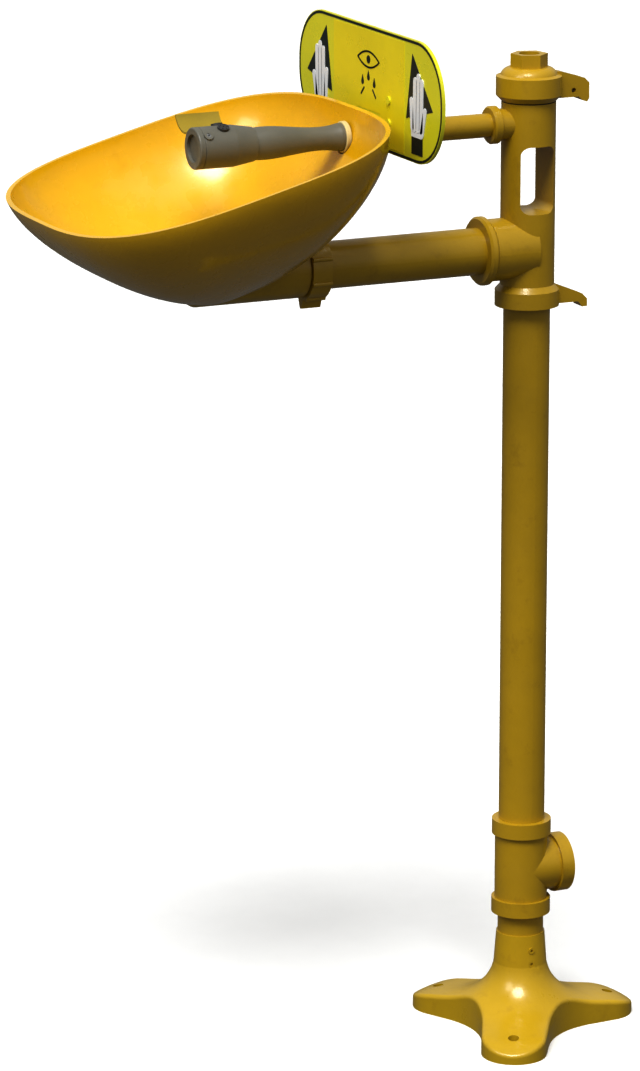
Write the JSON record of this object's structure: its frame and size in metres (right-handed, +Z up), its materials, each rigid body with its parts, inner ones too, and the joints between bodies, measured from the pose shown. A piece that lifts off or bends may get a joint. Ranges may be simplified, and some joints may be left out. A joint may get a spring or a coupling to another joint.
{
  "type": "eyewash station",
  "caption": "Floor-standing eyewash station: a bowl and spray head on a column, with a wide flag that opens the water valve when pushed.",
  "frame": {"origin": "on the floor at the column's axis, the centre of the three floor bolts", "axes": "+Z up along the column; -Y towards the user, the way the bowl reaches out; +X to the user's right"},
  "size_m": [0.3312, 0.5866, 0.948],
  "materials": {
    "base_paint": "semi-gloss paint on a casting",
    "column_paint": "semi-gloss paint",
    "bowl_plastic": "gloss",
    "flag_plastic": "gloss",
    "grey_plastic": "satin",
    "nozzle_plastic": "satin",
    "cover_plastic": "satin",
    "cream_rubber": "matte",
    "seal_rubber": "matte",
    "seat_plastic": "waxy",
    "brass": "machined",
    "ball_chrome": "polished",
    "steel": "satin"
  },
  "bodies": {
    "stand": {"floor_base": "base_paint", "neck_set_screws": "base_paint", "base_nipple": "column_paint", "drain_tee": "column_paint", "column_pipe": "column_paint", "tower_casting": "column_paint", "head_gasket": "seal_rubber", "inlet_head": "column_paint", "inlet_bushing": "column_paint", "inlet_screen": "steel", "supply_pipe": "column_paint", "valve_body": "brass", "valve_retainer": "brass", "front_seat": "seat_plastic", "rear_seat": "seat_plastic", "stem_packing": "seat_plastic", "packing_nut": "brass", "wall_nut": "brass", "wall_gasket": "cream_rubber", "spray_arm": "grey_plastic", "flow_control": "seat_plastic", "spray_body": "grey_plastic", "end_cap": "grey_plastic", "cap_screw": "steel", "spray_nozzles": "nozzle_plastic", "cover_pin": "steel", "bowl": "bowl_plastic", "strainer": "steel", "drain_saddle": "column_paint", "drain_pipe": "column_paint", "slip_washer": "seal_rubber", "slip_nut": "column_paint"},
    "flag": {"push_flag": "flag_plastic", "flag_lever": "steel", "flag_screws": "flag_plastic", "lever_nut": "steel", "valve_stem": "brass", "valve_ball": "ball_chrome"},
    "dust_cover": {"dust_cover": "cover_plastic"}
  },
  "joints": [
    {"name": "flag_push", "type": "hinge", "parent": "stand", "child": "flag", "pos_m": [0, -0.14, 0.851], "axis": [-1, 0, 0], "range_deg": [0, 90]},
    {"name": "dust_cover_hinge", "type": "hinge", "parent": "stand", "child": "dust_cover", "pos_m": [-0.01992, -0.3, 0.8625], "axis": [0, 1, 0], "range_deg": [0, 152]}
  ]
}
